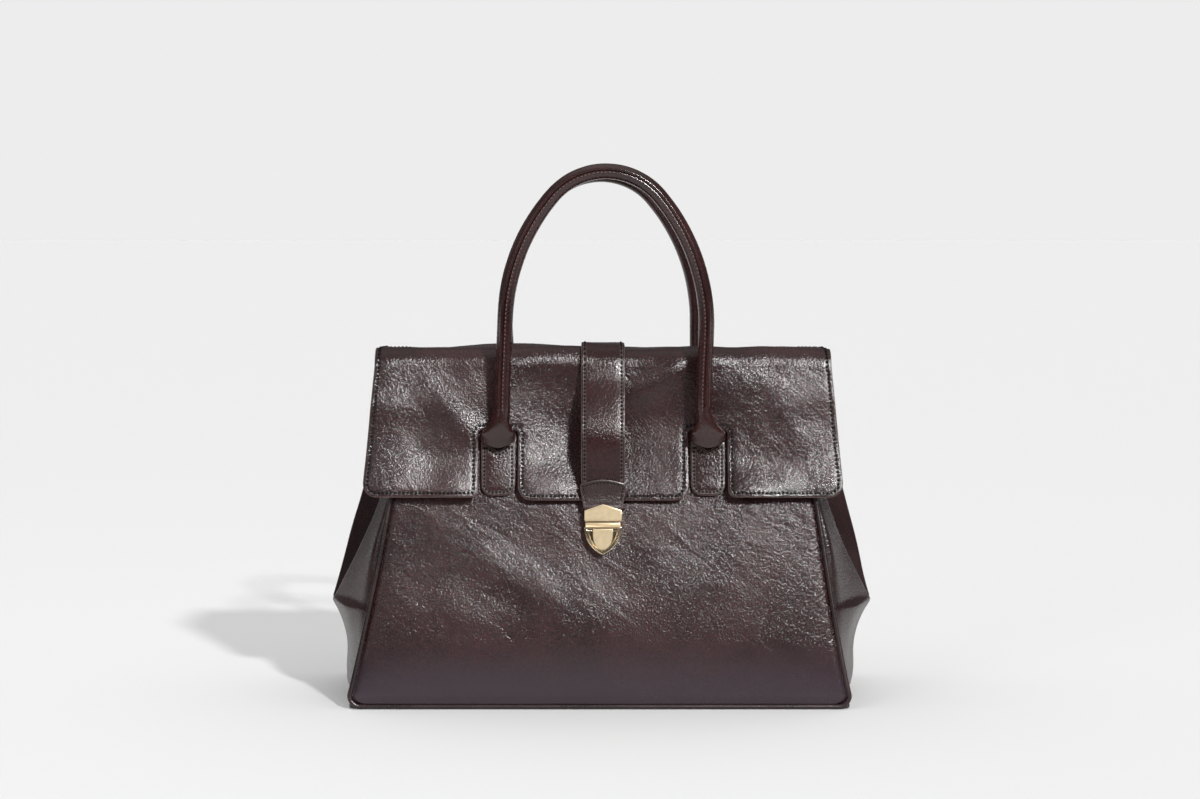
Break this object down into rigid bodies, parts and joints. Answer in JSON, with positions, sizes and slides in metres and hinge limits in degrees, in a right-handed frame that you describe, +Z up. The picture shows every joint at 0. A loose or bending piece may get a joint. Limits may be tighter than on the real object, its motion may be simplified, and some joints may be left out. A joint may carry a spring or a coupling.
{
  "type": "top handle bag",
  "caption": "Structured top handle bag with tucked gussets, a slotted flap, arched rope-cored handles and a press lock on a centre strap.",
  "frame": {"origin": "middle of the base, on the surface the bag stands on", "axes": "+Z up, front with the lock towards -Y, +X to the right seen from the front"},
  "size_m": [0.401, 0.162, 0.39],
  "materials": {
    "leather": "glossy burgundy-brown, fine grain",
    "edge": "glossy piping",
    "lining": "matt cotton twill",
    "board": "pressed fibre board",
    "rope": "twisted cotton rope",
    "gold": "polished pale gold",
    "steel": "plain sheet"
  },
  "bodies": {
    "bag": {"front_panel": "leather", "back_panel": "leather", "base_panel": "leather", "gusset_left": "leather", "gusset_right": "leather", "front_piping": "edge", "back_piping": "edge", "base_board": "board", "lining": "lining", "mouth_facing": "leather", "inner_pocket": "lining", "front_tab_left": "leather", "front_tab_right": "leather", "back_tab_left": "leather", "back_tab_right": "leather", "flap_anchor": "leather", "lock_case": "gold", "lock_backplate": "steel", "latch_spring": "steel"},
    "flap": {"flap": "leather", "flap_lining": "leather", "centre_strap": "leather", "lock_patch": "leather", "hasp_plate": "gold", "hasp_staple": "gold", "hasp_backplate": "steel"},
    "front_handle": {"front_handle": "leather", "front_handle_core": "rope", "front_handle_ends": "leather"},
    "back_handle": {"back_handle": "leather", "back_handle_core": "rope", "back_handle_ends": "leather"},
    "button": {"lock_button": "gold"}
  },
  "joints": [
    {"name": "flap_open", "type": "hinge", "parent": "bag", "child": "flap", "pos_m": [0, 0.04805, 0.25605], "axis": [-1, 0, 0], "range_deg": [0, 90], "deforming": ["latch_spring"]},
    {"name": "front_handle_swing", "type": "hinge", "parent": "bag", "child": "front_handle", "pos_m": [0, -0.06791, 0.1838], "axis": [1, 0, 0], "range_deg": [0, 144]},
    {"name": "back_handle_swing", "type": "hinge", "parent": "bag", "child": "back_handle", "pos_m": [0, 0.06791, 0.1838], "axis": [-1, 0, 0], "range_deg": [0, 144]},
    {"name": "lock_press", "type": "slide", "parent": "bag", "child": "button", "axis": [0, 0.9905, -0.1377], "range_m": [0, 0.0018], "stiffness_N_per_m": 400, "springref_m": -0.001, "deforming": ["latch_spring"]}
  ],
  "couplings": [
    {"joint": "front_handle_swing", "follows": "flap_open", "ratio": 1.6}
  ]
}
